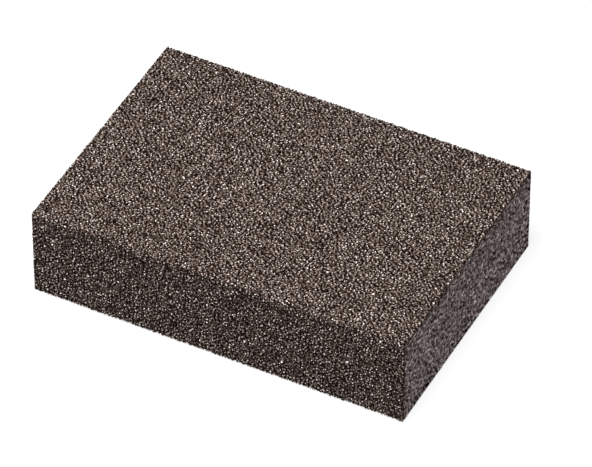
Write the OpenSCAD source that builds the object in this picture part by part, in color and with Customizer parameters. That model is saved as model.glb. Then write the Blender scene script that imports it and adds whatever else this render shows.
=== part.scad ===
// Foam sanding block, coated with abrasive on its four long sides and cut bare at both ends.
//
// The block lies along X, with +Z up and its origin at the middle of its underside.
// It is a stack of layers: a foam core, and on each long side a make coat, a grit layer and a
// size coat. Every layer has the outline of the block, set in by what lies over it.

/* [Block] */
// Length of the block, from cut end to cut end
block_l = 100; // [60:1:150]
// Width over the coats of the two narrow sides
block_w = 69.5; // [40:0.5:100]
// Height over the coats of the two broad faces
block_h = 25.5; // [12:0.5:40]
// Radius of the four long edges, over the coats
edge_r = 0.8; // [0.5:0.1:5]

/* [Coats] */
// Resin over the grains, which locks them sideways
size_coat_t = 0.08; // [0.05:0.01:0.15]
// Abrasive grains, as deep as they stand out of the make coat
grit_t = 0.55; // [0.1:0.01:0.7]
// Resin on the foam, which the grains stand in
make_coat_t = 0.15; // [0.1:0.01:0.3]

/* [Hidden] */
$fn = 96;

// How far each layer's outer face lies under the surface of the block
grit_inset = size_coat_t;
make_coat_inset = grit_inset + grit_t;
foam_inset = make_coat_inset + make_coat_t;

// Least radius of an inner layer's edges
least_r = 0.1;

// Two sides part along a diagonal at each edge. It starts at this depth, below every coat and
// the edge's own arc, and reaches a little past the surface.
mitre_depth = max(edge_r, foam_inset + 0.2);
mitre_reach = mitre_depth + 1;

foam_colour = [0.33, 0.30, 0.29];
make_coat_colour = [0.10, 0.07, 0.06];
grit_colour = [0.38, 0.33, 0.31];
size_coat_colour = [0.22, 0.17, 0.15];

// Which side of the block a coat is on, as a quarter turn of the sector of the top side
TOP = 0;
BACK = 1;
BOTTOM = 2;
FRONT = 3;

// The block's section, set in by a distance. Across is Y and up is Z, both from the middle.
module outline(inset) {
    r = max(edge_r - inset, least_r);
    w = block_w - 2 * inset;
    h = block_h - 2 * inset;
    square([w - 2 * r, h], center = true);
    square([w, h - 2 * r], center = true);
    for (y = [-1, 1], z = [-1, 1]) translate([y * (w / 2 - r), z * (h / 2 - r)]) circle(r);
}

// One side's share of the section. Two sides meet half way round the edge between them.
module sector(side) {
    upright = side == BACK || side == FRONT;
    across = (upright ? block_h : block_w) / 2 - mitre_depth;
    out = (upright ? block_w : block_h) / 2 - mitre_depth;
    rotate(-90 * side)
        polygon([
            [-across, out], [across, out],
            [across + mitre_reach, out + mitre_reach], [-across - mitre_reach, out + mitre_reach],
        ]);
}

// A section run along the whole length of the block
module along_block() {
    translate([-block_l / 2, 0, block_h / 2])
        rotate([90, 0, 90])
            linear_extrude(block_l) children();
}

// One layer of one side's coat, from its outer face to its inner face
module layer(side, outer_inset, inner_inset) {
    along_block()
        intersection() {
            difference() {
                outline(outer_inset);
                outline(inner_inset);
            }
            sector(side);
        }
}

module foam_core() {
    color(foam_colour) along_block() outline(foam_inset);
}

module make_coat(side) {
    color(make_coat_colour) layer(side, make_coat_inset, foam_inset);
}

module grit(side) {
    color(grit_colour) layer(side, grit_inset, make_coat_inset);
}

module size_coat(side) {
    color(size_coat_colour) layer(side, 0, grit_inset);
}

foam_core();

make_coat(TOP);  // top_make_coat
make_coat(BOTTOM);  // bottom_make_coat
make_coat(FRONT);  // front_make_coat
make_coat(BACK);  // back_make_coat

grit(TOP);  // top_grit
grit(BOTTOM);  // bottom_grit
grit(FRONT);  // front_grit
grit(BACK);  // back_grit

size_coat(TOP);  // top_size_coat
size_coat(BOTTOM);  // bottom_size_coat
size_coat(FRONT);  // front_size_coat
size_coat(BACK);  // back_size_coat
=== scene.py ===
"""The looks of a foam sanding block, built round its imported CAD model.

On each of the four long sides, thousands of separate abrasive grains stand in a bed of dark resin.
The two short ends are cut bare, so they show the open cells of the foam and the cut edges of the
coats. Lengths are in metres, in the CAD model's own frame, and each random draw is seeded.
"""

import math

import bmesh
import bpy
import numpy as np
from mathutils import Matrix, Vector, kdtree


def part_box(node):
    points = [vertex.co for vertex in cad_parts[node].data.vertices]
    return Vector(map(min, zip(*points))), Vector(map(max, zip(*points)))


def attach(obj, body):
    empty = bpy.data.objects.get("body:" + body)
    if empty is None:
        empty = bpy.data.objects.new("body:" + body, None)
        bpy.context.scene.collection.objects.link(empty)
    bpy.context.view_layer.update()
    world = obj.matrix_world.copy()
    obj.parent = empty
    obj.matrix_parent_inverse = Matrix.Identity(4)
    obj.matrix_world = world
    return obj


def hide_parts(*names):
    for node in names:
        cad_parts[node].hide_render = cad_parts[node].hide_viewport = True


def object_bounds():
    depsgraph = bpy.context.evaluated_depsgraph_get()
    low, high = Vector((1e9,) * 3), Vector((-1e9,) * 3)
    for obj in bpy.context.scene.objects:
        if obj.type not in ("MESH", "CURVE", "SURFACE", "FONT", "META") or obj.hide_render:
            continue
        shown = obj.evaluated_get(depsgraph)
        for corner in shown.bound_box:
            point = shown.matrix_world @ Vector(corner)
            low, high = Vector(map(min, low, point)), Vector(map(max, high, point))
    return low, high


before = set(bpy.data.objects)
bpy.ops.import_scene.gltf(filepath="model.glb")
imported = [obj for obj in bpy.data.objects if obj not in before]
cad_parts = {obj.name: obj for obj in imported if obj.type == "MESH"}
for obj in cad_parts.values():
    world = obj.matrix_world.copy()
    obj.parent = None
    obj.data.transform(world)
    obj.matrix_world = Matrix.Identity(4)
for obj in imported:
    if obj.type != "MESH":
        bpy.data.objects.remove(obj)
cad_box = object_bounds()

MM = 0.001
BODY = "root"

# ---------------------------------------------------------------------------------------------
# The block's shape, read from the frame
# ---------------------------------------------------------------------------------------------

LOW, HIGH = (np.array(corner) for corner in cad_box)
LENGTH, WIDTH, HEIGHT = HIGH - LOW
MIDDLE = (LOW + HIGH) / 2
X_AXIS = np.array([1.0, 0.0, 0.0])

# Two sides meet half way round an edge, so how far a side falls short of the block's own width
# gives the radius of the edge
MITRE = math.pi / 4
EDGE_R = (HIGH[1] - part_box("top_size_coat")[1].y) / (1 - math.sin(MITRE))


def depth_of(node):
    """How far a layer's outer face lies under the surface of the block."""
    return HIGH[2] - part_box(node)[1].z


BED_DEPTH = depth_of("top_make_coat")
FOAM_DEPTH = depth_of("foam_core")


class Side:
    """One coated side. Its surface is measured by two distances: x along the block, and round its
    section from the middle of the side, over the flat and half way round the edges."""

    def __init__(self, name, outward, along, width, height):
        self.name = name
        self.outward = np.array(outward, float)
        self.along = np.array(along, float)
        self.half_flat = width / 2 - EDGE_R
        self.half_span = self.half_flat + EDGE_R * MITRE
        self.arc_line = MIDDLE + (height / 2 - EDGE_R) * self.outward

    def place(self, x, around, depth):
        """Points under the surface, with the directions there round the section and outward."""
        turn = np.clip(np.abs(around) - self.half_flat, 0, None) / EDGE_R * np.sign(around)
        flat = np.clip(around, -self.half_flat, self.half_flat)
        sine, cosine = np.sin(turn)[:, None], np.cos(turn)[:, None]
        normal = sine * self.along + cosine * self.outward
        tangent = cosine * self.along - sine * self.outward
        point = self.arc_line + flat[:, None] * self.along + (EDGE_R - depth)[:, None] * normal
        point[:, 0] += x
        return point, tangent, normal

    def flat(self, x, around):
        """The same points on the side's flat map, as seen from outside the block."""
        return np.stack([0.5 + x / LENGTH, 0.5 - around / (2 * self.half_span)], -1)


# In the order that a trip round the section meets them
SIDES = [
    Side("top", (0, 0, 1), (0, -1, 0), WIDTH, HEIGHT),
    Side("front", (0, -1, 0), (0, 0, -1), HEIGHT, WIDTH),
    Side("bottom", (0, 0, -1), (0, 1, 0), WIDTH, HEIGHT),
    Side("back", (0, 1, 0), (0, 0, 1), HEIGHT, WIDTH),
]
GIRTH = sum(2 * side.half_span for side in SIDES)
SIDE_STARTS = np.cumsum([0] + [2 * side.half_span for side in SIDES])


# ---------------------------------------------------------------------------------------------
# Materials
# ---------------------------------------------------------------------------------------------


class Nodes:
    """A new material's node tree, with its Principled shader as bsdf."""

    def __init__(self, name):
        self.material = bpy.data.materials.new(name)
        self.material.use_nodes = True
        self.tree = self.material.node_tree
        self.bsdf = self.tree.nodes["Principled BSDF"]

    def add(self, kind, inputs=None, **settings):
        node = self.tree.nodes.new("ShaderNode" + kind)
        for name, value in settings.items():
            setattr(node, name, value)
        for name, value in (inputs or {}).items():
            self.put(value, node.inputs[name])
        return node

    def put(self, value, socket):
        if isinstance(value, bpy.types.NodeSocket):
            self.tree.links.new(value, socket)
        else:
            socket.default_value = value

    def set(self, **values):
        for name, value in values.items():
            self.put(value, self.bsdf.inputs[name.replace("_", " ")])

    def attribute(self, name):
        return self.add("Attribute", attribute_name=name).outputs["Fac"]

    def noise(self, scale_mm, detail=2.0):
        """Noise whose features are about scale_mm across."""
        place = self.add("TexCoord").outputs["Object"]
        inputs = {"Vector": place, "Scale": 1 / (scale_mm * MM), "Detail": detail}
        return self.add("TexNoise", inputs).outputs["Fac"]

    def between(self, value, low, high, from_low=0.0, from_high=1.0):
        """value, moved from its own range to low..high."""
        inputs = {"Value": value, "From Min": from_low, "From Max": from_high}
        inputs |= {"To Min": low, "To Max": high}
        return self.add("MapRange", inputs).outputs["Result"]

    def combine(self, a, b, operation="ADD"):
        node = self.add("Math", operation=operation)
        self.put(a, node.inputs[0])
        self.put(b, node.inputs[1])
        return node.outputs[0]

    def ramp(self, value, stops):
        """Colours along a value. stops is a list of (position, (red, green, blue))."""
        node = self.add("ValToRGB", {"Fac": value})
        elements = node.color_ramp.elements
        while len(elements) < len(stops):
            elements.new(0.5)
        for element, (position, colour) in zip(elements, stops):
            element.position = position
            element.color = (*colour, 1)
        return node.outputs["Color"]

    def bump(self, height, depth_mm):
        inputs = {"Height": height, "Distance": depth_mm * MM, "Strength": 1.0}
        return self.add("Bump", inputs).outputs["Normal"]


def linear(level):
    """A colour channel as the shader takes it, from the 0 to 255 that a screen shows."""
    share = min(max(level, 0), 255) / 255
    return share / 12.92 if share < 0.04 else ((share + 0.055) / 1.055) ** 2.4


def grey(level, tint):
    """A grey of a level from 0 to 255, with a tint that is the same at any level."""
    return tuple(linear(level + offset) for offset in tint)


def tone_ramp(nodes, tone, tint, stops=9):
    """Greys along a tone of 0 to 1, which stands for levels of 0 to 255."""
    places = [i / (stops - 1) for i in range(stops)]
    return nodes.ramp(tone, [(place, grey(255 * place, tint)) for place in places])


# What red, green and blue add to the level of a grey, from 0 to 255
COAT_TINT = (9, -2, -8)
FOAM_TINT = (8, -3, -5)
# Specular levels, kept low so that the gaps between grains stay dark
GRAIN_SHINE = 0.06
RESIN_SHINE = 0.02
FOAM_SHINE = 0.05
# A grain has its full tone only at its top. Lower on its flanks it is painted darker, as shade
# between the grains, and under a set lift it keeps only a small share of its tone
FOOT_SHADE_SHARE = 0.1
FULL_SHADE_LIFT = 0.5


def grit_material():
    """Crushed mineral grains under a skin of resin, each with a tone of its own, and with painted
    shade on their lower flanks and where the coat is low.
    """
    nodes = Nodes("abrasive_grains")
    speck = nodes.noise(0.12, detail=3)
    tone = nodes.combine(nodes.attribute("tone"), nodes.between(speck, -0.06, 0.06))
    # Painted shade on the lower flanks of each grain, from how far below its top a point is
    lift = nodes.between(nodes.attribute("lift"), FOOT_SHADE_SHARE, 1.0, FULL_SHADE_LIFT, 1.0)
    nodes.set(
        Base_Color=tone_ramp(nodes, nodes.combine(tone, lift, "MULTIPLY"), COAT_TINT),
        Roughness=nodes.between(speck, 0.35, 0.6),
        Normal=nodes.bump(speck, 0.02),
        Specular_IOR_Level=GRAIN_SHINE,
    )
    return nodes.material


def bed_material():
    """The size coat: cured resin that runs up between the grains, with fine flow marks, and with
    painted shade where the coat is low.
    """
    nodes = Nodes("size_resin")
    flow = nodes.noise(0.5, detail=4)
    tone = nodes.combine(nodes.attribute("tone"), nodes.between(flow, -0.04, 0.04))
    nodes.set(
        Base_Color=tone_ramp(nodes, tone, COAT_TINT),
        Roughness=nodes.between(flow, 0.4, 0.6),
        Normal=nodes.bump(flow, 0.05),
        Specular_IOR_Level=RESIN_SHINE,
    )
    return nodes.material


def make_coat_material():
    """The make coat: thin dark resin soaked into the foam."""
    nodes = Nodes("make_resin")
    flow = nodes.noise(0.5, detail=4)
    nodes.set(
        Base_Color=tone_ramp(nodes, nodes.between(flow, 0.01, 0.1), COAT_TINT),
        Roughness=nodes.between(flow, 0.4, 0.6),
        Normal=nodes.bump(flow, 0.05),
        Specular_IOR_Level=RESIN_SHINE,
    )
    return nodes.material


def foam_material():
    """Cut flexible foam: soft grey walls round open cells, which are painted darker as shade the
    deeper they go.
    """
    nodes = Nodes("cut_foam")
    fine = nodes.noise(0.25, detail=3)
    # The wall attribute holds the foam's tone, with painted shade in its cells
    tone = nodes.combine(nodes.attribute("wall"), nodes.between(fine, -0.08, 0.08))
    nodes.set(
        Base_Color=tone_ramp(nodes, tone, FOAM_TINT),
        Roughness=nodes.between(fine, 0.75, 0.95),
        Normal=nodes.bump(fine, 0.04),
        Specular_IOR_Level=FOAM_SHINE,
    )
    return nodes.material


# ---------------------------------------------------------------------------------------------
# Meshes
# ---------------------------------------------------------------------------------------------

# The name of the flat map that each piece carries
MAP_NAME = "OFBake"
# How much of the map's height is for faces whose corners run anticlockwise on it
OUTER_SHARE = 0.95


def unrolled(flat, faces):
    """Where each corner of each face lies on the piece's flat map. flat holds each point's place
    on the map, as shares of its width and height. A face whose corners run clockwise there would
    cover one whose corners don't, so all of those go into a strip at the edge of the map."""
    corners = flat[faces]
    following = np.roll(corners, -1, axis=1)
    turn = corners[..., 0] * following[..., 1] - corners[..., 1] * following[..., 0]
    inward = turn.sum(1) < 0
    corners[..., 1] *= OUTER_SHARE
    corners[inward, :, 1] *= (1 - OUTER_SHARE) / OUTER_SHARE
    corners[inward, :, 1] += OUTER_SHARE
    return corners


def add_piece(name, points, faces, flats, material, attributes=()):
    """A new piece from an array of points and a list of arrays of faces, each with its own number
    of corners. flats holds the same faces' corners on the piece's flat map, and attributes is a
    list of (name, one value for each point)."""
    mesh = bpy.data.meshes.new(name)
    mesh.vertices.add(len(points))
    mesh.vertices.foreach_set("co", points.astype(np.float32).ravel())
    corners = np.concatenate([f.ravel() for f in faces])
    counts = np.concatenate([np.full(len(f), f.shape[1]) for f in faces])
    mesh.loops.add(len(corners))
    mesh.loops.foreach_set("vertex_index", corners.astype(np.int32))
    mesh.polygons.add(len(counts))
    mesh.polygons.foreach_set("loop_start", (np.cumsum(counts) - counts).astype(np.int32))
    mesh.update(calc_edges=True)
    flat_map = mesh.uv_layers.new(name=MAP_NAME)
    flat = np.concatenate([f.reshape(-1, 2) for f in flats])
    flat_map.data.foreach_set("uv", flat.astype(np.float32).ravel())
    for attribute_name, values in attributes:
        attribute = mesh.attributes.new(attribute_name, "FLOAT", "POINT")
        attribute.data.foreach_set("value", values.astype(np.float32))
    mesh.materials.append(material)
    piece = bpy.data.objects.new(name, mesh)
    bpy.context.scene.collection.objects.link(piece)
    return piece


def grid_faces(index):
    """The four-cornered faces of a grid of points, given the grid of their numbers."""
    corners = [index[:-1, :-1], index[:-1, 1:], index[1:, 1:], index[1:, :-1]]
    return np.stack(corners, -1).reshape(-1, 4)


def bridge(path, step):
    """The faces between a path of numbered points and the points whose numbers are step higher."""
    return np.stack([path[:-1], path[1:], path[1:] + step, path[:-1] + step], -1)


def stand_for(piece, node):
    """Puts a piece in the place of a CAD node of the body."""
    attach(piece, BODY)
    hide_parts(node)


# ---------------------------------------------------------------------------------------------
# Grains
# ---------------------------------------------------------------------------------------------


def scatter(apart, span, rng, rounds=24):
    """Points spread at random over a rectangle of two spans, no two of them closer than apart.
    What leaves the rectangle on one side comes back on the other, so its edges join."""
    span = np.array(span)
    counts = np.ceil(span / (apart / math.sqrt(2))).astype(int)
    cell = span / counts
    corner = np.stack(np.meshgrid(*(np.arange(n) for n in counts), indexing="ij"), -1) * cell
    steps = [(i, j) for i in range(-2, 3) for j in range(-2, 3) if (i, j) != (0, 0)]
    taken = np.zeros(counts, bool)
    spot = corner.copy()
    for _ in range(rounds):
        trial = corner + rng.random(corner.shape) * cell
        spot = np.where(taken[..., None], spot, trial)
        rank = np.where(taken, 2.0, rng.random(taken.shape))
        beaten = np.zeros(taken.shape, bool)
        for step in steps:
            gap = np.roll(spot, step, (0, 1)) - spot
            gap = (gap + span / 2) % span - span / 2
            near = (gap**2).sum(-1) < apart**2
            beaten |= near & (np.roll(rank, step, (0, 1)) > rank)
        taken |= ~beaten
    return spot[taken]


def on_surface(spots):
    """Which side each scattered spot is on, and its distance round that side from its middle."""
    number = np.searchsorted(SIDE_STARTS, spots[:, 1], "right") - 1
    half = np.array([side.half_span for side in SIDES])
    return number, spots[:, 1] - SIDE_STARTS[number] - half[number]


def surface_points(spots):
    """The scattered spots as points of the block's surface."""
    number, around = on_surface(spots)
    points = np.zeros((len(spots), 3))
    for i, side in enumerate(SIDES):
        mine = number == i
        x = spots[mine, 0] - LENGTH / 2
        points[mine] = side.place(x, around[mine], np.zeros(mine.sum()))[0]
    return points


def tree_of(points):
    tree = kdtree.KDTree(len(points))
    for i, point in enumerate(points):
        tree.insert(point, i)
    tree.balance()
    return tree


# How far apart a stone's corners are at least, for a stone of one corner and one unit in radius
CORNER_APART = 1.9


def crushed_shape(corners, rng):
    """A random convex stone about one unit in radius, as its corners and its triangles."""
    apart = CORNER_APART / math.sqrt(corners)
    points = []
    while len(points) < corners:
        point = rng.normal(size=3)
        point /= np.linalg.norm(point)
        if all(np.linalg.norm(point - other) > apart for other in points):
            points.append(point)
    shape = bmesh.new()
    for point in points:
        shape.verts.new(point)
    bmesh.ops.convex_hull(shape, input=shape.verts)
    bmesh.ops.triangulate(shape, faces=shape.faces)
    bmesh.ops.recalc_face_normals(shape, faces=shape.faces)
    shape.verts.index_update()
    vertices = np.array([vertex.co for vertex in shape.verts])
    faces = np.array([[vertex.index for vertex in face.verts] for face in shape.faces])
    shape.free()
    return vertices, faces


def random_turns(count, rng):
    """Rotation matrices, even over all directions."""
    quaternions = rng.normal(size=(4, count))
    w, x, y, z = quaternions / np.linalg.norm(quaternions, axis=0)
    return np.array(
        [
            [1 - 2 * (y * y + z * z), 2 * (x * y - z * w), 2 * (x * z + y * w)],
            [2 * (x * y + z * w), 1 - 2 * (x * x + z * z), 2 * (y * z - x * w)],
            [2 * (x * z - y * w), 2 * (y * z + x * w), 1 - 2 * (x * x + y * y)],
        ]
    ).transpose(2, 0, 1)


# How many waves are added up
WAVES = 120


class Waves:
    """A random surface: a sum of waves in all directions, of about one length. Its level has a mean
    of 0 and a standard deviation of 1. Where girth is given, a whole number of each wave fits
    into it, so the surface has no seam there."""

    def __init__(self, rng, length, spread, girth=None):
        direction = rng.uniform(0, 2 * math.pi, WAVES)
        frequency = rng.normal(1, spread, WAVES) / length
        self.along = 2 * math.pi * frequency * np.cos(direction)
        self.across = 2 * math.pi * frequency * np.sin(direction)
        if girth:
            self.across = 2 * math.pi * np.round(self.across * girth / (2 * math.pi)) / girth
        self.phase = rng.uniform(0, 2 * math.pi, WAVES)

    def level(self, along, across):
        waves = np.cos(np.outer(along, self.along) + np.outer(across, self.across) + self.phase)
        return waves.sum(1) * math.sqrt(2 / WAVES)


# The coat rises and falls with the foam under it. Its tone is painted bright where it is high
# and dark where it is low: painted shade in the low places, with the dark of resin pooled there
COAT_WAVE = 0.84 * MM
COAT_SPREAD = 0.2
TONE_MIDDLE = 0.26
TONE_SWING = 0.98
TONE_NOISE = 0.08


def tone_and_shade_of(level, own=0.0):
    """The tone of the coat at a level, with painted shade where it is low, and with what a grain
    has of its own.
    """
    return np.clip(TONE_MIDDLE + TONE_SWING * level + TONE_NOISE * own, 0, 1)


GRAIN_APART = 0.55 * MM
# A grain's radius, as a share of the distance to its nearest neighbour
GRAIN_FILL = (0.6, 0.75)
GRAIN_CORNERS = 8
SHAPE_KINDS = 16
STRETCH_LOW = (0.9, 0.7, 0.6)
STRETCH_HIGH = (1.2, 1.0, 0.9)
# How far the tops of the grains lie under the surface of the block
SINK_MIDDLE = 0.12 * MM
SINK_SWING = 0.1 * MM
SINK_MOST = 0.32 * MM
# How far they keep from the foam, and at most from a cut end
FOAM_GAP = 0.02 * MM
TUCK_MOST = 0.1 * MM
# How far under its top a grain's lift is 0
LIFT_REACH = 0.5 * MM
# How much of its square of the flat map a grain fills
SQUARE_FILL = 0.85


class Grains:
    """All the grains: where they are, how large and how bright."""

    def __init__(self, relief, rng):
        self.relief = relief
        self.spots = scatter(GRAIN_APART, (LENGTH, GIRTH), rng)
        count = len(self.spots)
        self.number, self.around = on_surface(self.spots)
        points = surface_points(self.spots)
        tree = tree_of(points)
        nearest = np.array([tree.find_n(point, 2)[1][2] for point in points])
        self.radius = nearest * rng.uniform(*GRAIN_FILL, size=count)
        self.shapes = [crushed_shape(GRAIN_CORNERS, rng) for _ in range(SHAPE_KINDS)]
        self.kind = rng.integers(SHAPE_KINDS, size=count)
        self.turns = random_turns(count, rng)
        self.stretch = rng.uniform(STRETCH_LOW, STRETCH_HIGH, size=(count, 3))
        level = relief.level(*self.spots.T)
        self.top = np.clip(SINK_MIDDLE - SINK_SWING * level, 0, SINK_MOST)
        self.own = rng.normal(size=count)
        self.tuck = rng.uniform(0, TUCK_MOST, size=count)

    def map_squares(self, side_number):
        """A square of the side's flat map for each grain, roughly where the grain is on the side,
        and how many squares the map has each way."""
        mine = np.flatnonzero(self.number == side_number)
        grid = math.ceil(math.sqrt(len(mine)))
        column = np.argsort(np.argsort(self.spots[mine, 0])) // grid
        order = np.lexsort((-self.around[mine], column))
        square = np.zeros((len(self.spots), 2))
        square[mine[order]] = np.stack([column[order], np.arange(len(mine)) % grid], -1)
        return square, grid

    def stones(self, mine, shape):
        """The corners of each stone from its middle: along the block, round its section and
        outward. None is taller than the room between its own top and the foam."""
        local = shape[None] * self.stretch[mine][:, None] * self.radius[mine][:, None, None]
        local = np.einsum("nij,nkj->nki", self.turns[mine], local)
        tall = np.ptp(local[..., 2], axis=1)
        room = FOAM_DEPTH - FOAM_GAP - self.top[mine]
        local[..., 2] *= np.minimum(1, room / tall)[:, None]
        return local

    def clear_of_ends(self, mine, local):
        """Where along the block each stone's middle is, with the stone clear of the cut ends."""
        reach = LENGTH / 2 - self.tuck[mine]
        x = self.spots[mine, 0] - LENGTH / 2
        x = np.minimum(x, reach - local[..., 0].max(1))
        return np.maximum(x, -reach - local[..., 0].min(1))

    def settle(self, side, mine, x, local):
        """The stones' corners as points of the block, inside its box. The three directions are a
        left-handed set, so each stone is mirrored and its faces are turned inward."""
        depth = self.top[mine] + local[..., 2].max(1)
        centre, tangent, normal = side.place(x, self.around[mine], depth)
        points = centre[:, None] + local[..., 0:1] * X_AXIS
        points += local[..., 1:2] * tangent[:, None] + local[..., 2:3] * normal[:, None]
        return np.clip(points, LOW, HIGH)

    def tones(self, mine, x, local):
        """The tone at each corner of each stone, with the painted shade of the coat's low places.
        """
        # Painted shade: the lower the coat at a corner, the darker its tone
        level = self.relief.level(
            (x[:, None] + LENGTH / 2 + local[..., 0]).ravel(),
            (self.spots[mine, 1][:, None] + local[..., 1]).ravel(),
        )
        return tone_and_shade_of(level, np.repeat(self.own[mine], local.shape[1]))

    def on(self, side_number):
        """The corners, triangles, map places, tones and lifts of the grains on one side."""
        side = SIDES[side_number]
        square, grid = self.map_squares(side_number)
        parts = []
        first = 0
        for kind, (shape, triangles) in enumerate(self.shapes):
            mine = (self.number == side_number) & (self.kind == kind)
            local = self.stones(mine, shape)
            x = self.clear_of_ends(mine, local)
            points = self.settle(side, mine, x, local).reshape(-1, 3)
            starts = first + np.arange(mine.sum()) * len(shape)
            first += len(points)
            faces = (starts[:, None, None] + triangles).reshape(-1, 3)
            seen = local[..., :2] * (1, -1)
            seen /= 2 * np.abs(seen).max((1, 2))[:, None, None]
            flat = (square[mine][:, None] + 0.5 + SQUARE_FILL * seen) / grid
            # How high up its stone each corner is, which sets the painted shade on its lower flanks
            lift = 1 - (local[..., 2].max(1)[:, None] - local[..., 2]) / LIFT_REACH
            tone = self.tones(mine, x, local)
            parts.append((points, faces, flat.reshape(-1, 2), tone, lift.ravel()))
        return [np.concatenate(part) for part in zip(*parts)]


def add_grit(side_number, grains, material):
    side = SIDES[side_number]
    points, faces, flat, tones, lifts = grains.on(side_number)
    attributes = [("tone", tones), ("lift", lifts)]
    flats = [unrolled(flat, faces)]
    piece = add_piece(side.name + "_grains", points, [faces], flats, material, attributes)
    stand_for(piece, side.name + "_grit")


# ---------------------------------------------------------------------------------------------
# The resin between the grains
# ---------------------------------------------------------------------------------------------

BED_STEP = 0.38 * MM
# How thick it is over the make coat, between a least and a most
BED_LEAST = 0.04 * MM
BED_MIDDLE = 0.14 * MM
BED_SWING = 0.09 * MM
BED_MOST = 0.4 * MM
# Its tone, as a share of the grains' tone, with the same painted shade where the coat is low
BED_TONE = 0.42
# How far its cut edges fall short of the ends of the block
RAGGED = 0.15 * MM
BED_CREASE = math.radians(50)


def add_bed(side_number, relief, material, rng):
    """The size coat: a closed sheet of resin on the make coat, wavy on top and ragged where the
    ends are cut."""
    side = SIDES[side_number]
    columns = round(LENGTH / BED_STEP) + 1
    rows = round(2 * side.half_span / BED_STEP) + 1
    xs = np.linspace(-LENGTH / 2, LENGTH / 2, columns)
    arounds = np.linspace(-side.half_span, side.half_span, rows)
    x, around = np.meshgrid(xs, arounds, indexing="ij")
    x[0] += rng.uniform(0, RAGGED, rows)
    x[-1] -= rng.uniform(0, RAGGED, rows)
    x, around = x.ravel(), around.ravel()
    under, _, _ = side.place(x, around, np.full(len(x), BED_DEPTH))
    level = relief.level(x + LENGTH / 2, around + SIDE_STARTS[side_number] + side.half_span)
    thick = np.clip(BED_MIDDLE + BED_SWING * level, BED_LEAST, BED_MOST)
    over, _, _ = side.place(x, around, BED_DEPTH - thick)
    count = columns * rows
    index = np.arange(count).reshape(columns, rows)
    upper = grid_faces(index)
    edges = [index[:, 0], index[-1, :], index[::-1, -1], index[0, ::-1]]
    faces = [upper, upper[:, ::-1] + count] + [bridge(edge, count) for edge in edges]
    # The resin's own dark tone, with the coat's painted shade where it is low
    tones = np.tile(BED_TONE * tone_and_shade_of(level), 2)
    points = np.concatenate([over, under])
    flat = np.tile(side.flat(x, around), (2, 1))
    flats = [unrolled(flat, f) for f in faces]
    piece = add_piece(side.name + "_resin", points, faces, flats, material, [("tone", tones)])
    piece.data.shade_smooth()
    piece.data.set_sharp_from_angle(angle=BED_CREASE)
    stand_for(piece, side.name + "_size_coat")


# ---------------------------------------------------------------------------------------------
# The foam core
# ---------------------------------------------------------------------------------------------

FOAM_STEP = 0.2 * MM
# The large cells, the pores between them, and how deep a pore is beside a cell
CELL_APART = 1.25 * MM
CELL_WALL = 0.75 * MM
PORE_APART = 0.75 * MM
PORE_WALL = 0.6 * MM
PORE_SHARE = 0.5
CELL_DEPTH = 0.7 * MM
# The shallowest cell, as a share of the deepest
CELL_LEAST = 0.4
# How far the walls wander, and over what length
SWIRL = 0.15 * MM
SWIRL_LENGTH = 1.0 * MM
SWIRL_SPREAD = 0.3
WALL_TONE = 0.67
WALL_SWING = 0.12
WALL_WAVE = 1.6 * MM
WALL_SPREAD = 0.4


def cells(y, z, apart, wall, rng):
    """How deep in a cut cell of the foam each point is: 0 on the walls, up to 1 in the cells."""
    spots = scatter(apart, (WIDTH, HEIGHT), rng)
    tree = tree_of(np.column_stack([np.zeros(len(spots)), spots + LOW[1:]]))
    own = rng.uniform(CELL_LEAST, 1, size=len(spots))
    y = y + SWIRL * Waves(rng, SWIRL_LENGTH, SWIRL_SPREAD).level(y, z)
    z = z + SWIRL * Waves(rng, SWIRL_LENGTH, SWIRL_SPREAD).level(y, z)
    found = [tree.find_n((0, *point), 2) for point in zip(y, z)]
    near, second = np.array([[hit[2] for hit in hits] for hits in found]).T
    cell = np.array([hits[0][1] for hits in found])
    inside = np.clip((second - near) / wall, 0, 1)
    return own[cell] * inside * inside * (3 - 2 * inside)


def hollows(y, z, rng):
    """How deep in the foam each point is, with both its cells and its pores."""
    cell = cells(y, z, CELL_APART, CELL_WALL, rng)
    pore = cells(y, z, PORE_APART, PORE_WALL, rng)
    return 1 - (1 - cell) * (1 - PORE_SHARE * pore)


def foam_end(end, rng):
    """The points of one cut end, row by row from the bottom, with their tones and map places."""
    radius = EDGE_R - FOAM_DEPTH
    half_z = HEIGHT / 2 - FOAM_DEPTH
    rows = round(2 * half_z / FOAM_STEP) + 1
    columns = round((WIDTH - 2 * FOAM_DEPTH) / FOAM_STEP) + 1
    rise = np.linspace(-half_z, half_z, rows)
    into_arc = np.clip(np.abs(rise) - (HEIGHT / 2 - EDGE_R), 0, radius)
    half_y = WIDTH / 2 - EDGE_R + np.sqrt(radius**2 - into_arc**2)
    y = np.outer(half_y, np.linspace(-1, 1, columns)).ravel()
    z = np.repeat(rise + MIDDLE[2], columns)
    hollow = hollows(y, z, rng)
    # The rim stays level, because the coats stand beside it
    inside = np.zeros((rows, columns), bool)
    inside[1:-1, 1:-1] = True
    x = end * (LENGTH / 2 - np.where(inside.ravel(), CELL_DEPTH * hollow, 0))
    wall = WALL_TONE + WALL_SWING * Waves(rng, WALL_WAVE, WALL_SPREAD).level(y, z)
    # The deeper a cell, the darker it is painted: painted shade in the cut cells
    tone = np.clip(wall * (1 - hollow), 0, 1)
    # Each end has its own half of the map, as seen from outside the block
    across = 0.5 + end * y / WIDTH
    up = (z - LOW[2]) / HEIGHT / 2 + (0.5 if end > 0 else 0)
    return np.stack([x, y, z], -1), tone, np.stack([across, up], -1), rows, columns


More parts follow.
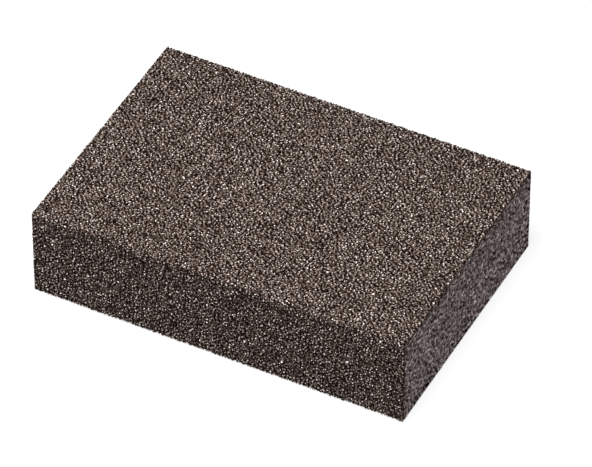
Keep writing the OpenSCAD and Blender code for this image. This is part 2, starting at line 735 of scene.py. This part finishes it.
def add_foam(material, rng):
    """The core: the long faces lie hidden under the coats, and the ends are cut through cells."""
    points, tones, faces, flats = [], [], [], []
    for end in (-1, 1):
        end_points, tone, flat, rows, columns = foam_end(end, rng)
        index = np.arange(rows * columns).reshape(rows, columns)
        face = grid_faces(index) if end > 0 else grid_faces(index)[:, ::-1]
        flats.append(unrolled(flat, face))
        faces.append(face + sum(len(p) for p in points))
        points.append(end_points)
        tones.append(tone)
    rim = np.concatenate([index[0, :], index[1:, -1], index[-1, -2::-1], index[-2::-1, 0]])
    # The long faces are turned inward, and the ends outward
    faces.append(bridge(rim, rows * columns)[:, ::-1])
    # The long faces are hidden, so all of them share the strip
    trip = np.linspace(0, 1, len(rim))
    round_rim = np.stack([trip[:-1], trip[1:], trip[1:], trip[:-1]], -1)
    lengthwise = np.broadcast_to([1, 1, OUTER_SHARE, OUTER_SHARE], round_rim.shape)
    flats.append(np.stack([round_rim[:, ::-1], lengthwise], -1))
    attributes = [("wall", np.concatenate(tones))]
    piece = add_piece("foam", np.concatenate(points), faces, flats, material, attributes)
    piece.data.shade_smooth()
    stand_for(piece, "foam_core")


# ---------------------------------------------------------------------------------------------
# Studio and camera
# ---------------------------------------------------------------------------------------------

CAMERA_AZIMUTH = math.radians(27.251)
CAMERA_ELEVATION = math.radians(42.824)
CAMERA_ROLL = math.radians(0.071)
CAMERA_DISTANCE = 1.386
CAMERA_TARGET = Vector((0.00337, 0.00064, 0.0125))
CAMERA_LENS = 348.2
SENSOR_WIDTH = 36.0
WORLD_STRENGTH = 0.07
BACKDROP_STRENGTH = 0.85
KEY_PLACE = (-0.02, -0.3, 1.0)
KEY_SIZE = 0.6
KEY_POWER = 28.6
FLOOR_GREY = 0.12
FLOOR_GLOW = 0.8
FLOOR_HALF = 20.0


def add_camera():
    data = bpy.data.cameras.new("camera")
    data.sensor_width = SENSOR_WIDTH
    data.lens = CAMERA_LENS
    data.clip_start = 0.01
    data.clip_end = 100
    camera = bpy.data.objects.new("camera", data)
    bpy.context.scene.collection.objects.link(camera)
    flat = math.cos(CAMERA_ELEVATION)
    ahead = (math.sin(CAMERA_AZIMUTH), -math.cos(CAMERA_AZIMUTH))
    back = Vector((ahead[0] * flat, ahead[1] * flat, math.sin(CAMERA_ELEVATION)))
    right = Vector((math.cos(CAMERA_AZIMUTH), math.sin(CAMERA_AZIMUTH), 0))
    up = back.cross(right)
    turned = Matrix((right, up, back)).transposed() @ Matrix.Rotation(CAMERA_ROLL, 3, "Z")
    place = Matrix.Translation(CAMERA_TARGET + back * CAMERA_DISTANCE)
    camera.matrix_world = place @ turned.to_4x4()
    bpy.context.scene.camera = camera


def add_area_light(name, place, size, power):
    data = bpy.data.lights.new(name, "AREA")
    data.shape = "DISK"
    data.size = size
    data.energy = power
    light = bpy.data.objects.new(name, data)
    light.location = place
    light.rotation_euler = (-Vector(place)).to_track_quat("-Z", "Y").to_euler()
    bpy.context.scene.collection.objects.link(light)


def add_studio():
    world = bpy.data.worlds.new("studio")
    world.use_nodes = True
    background = world.node_tree.nodes["Background"]
    background.inputs["Color"].default_value = (1, 1, 1, 1)
    # The backdrop looks pale, but lights the block only faintly
    path = world.node_tree.nodes.new("ShaderNodeLightPath")
    strength = world.node_tree.nodes.new("ShaderNodeMix")
    strength.inputs["A"].default_value = WORLD_STRENGTH
    strength.inputs["B"].default_value = BACKDROP_STRENGTH
    world.node_tree.links.new(path.outputs["Is Camera Ray"], strength.inputs["Factor"])
    world.node_tree.links.new(strength.outputs["Result"], background.inputs["Strength"])
    bpy.context.scene.world = world
    add_area_light("key", KEY_PLACE, KEY_SIZE, KEY_POWER)
    bpy.context.scene.view_settings.view_transform = "Standard"


def add_floor():
    """A wide floor that glows pale, as a light table does, so the block's shadow is faint."""
    nodes = Nodes("floor")
    nodes.set(Base_Color=(FLOOR_GREY, FLOOR_GREY, FLOOR_GREY, 1), Roughness=0.8)
    nodes.set(Emission_Color=(1, 1, 1, 1), Emission_Strength=FLOOR_GLOW)
    square = np.array([(-1, -1), (1, -1), (1, 1), (-1, 1)])
    corners = np.column_stack([FLOOR_HALF * square, np.full(len(square), LOW[2])])
    faces = np.array([[0, 1, 2, 3]])
    flat = (square + 1) / 2
    floor = add_piece("floor", corners, [faces], [flat[faces]], nodes.material)


add_camera()
add_studio()
add_floor()

rng = np.random.default_rng(7)
relief = Waves(rng, COAT_WAVE, COAT_SPREAD, GIRTH)
grains = Grains(relief, rng)
grit = grit_material()
size_resin = bed_material()
make_resin = make_coat_material()
for number, side in enumerate(SIDES):
    add_grit(number, grains, grit)
    add_bed(number, relief, size_resin, rng)
    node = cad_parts[side.name + "_make_coat"]
    node.data.materials.clear()
    node.data.materials.append(make_resin)
add_foam(foam_material(), rng)
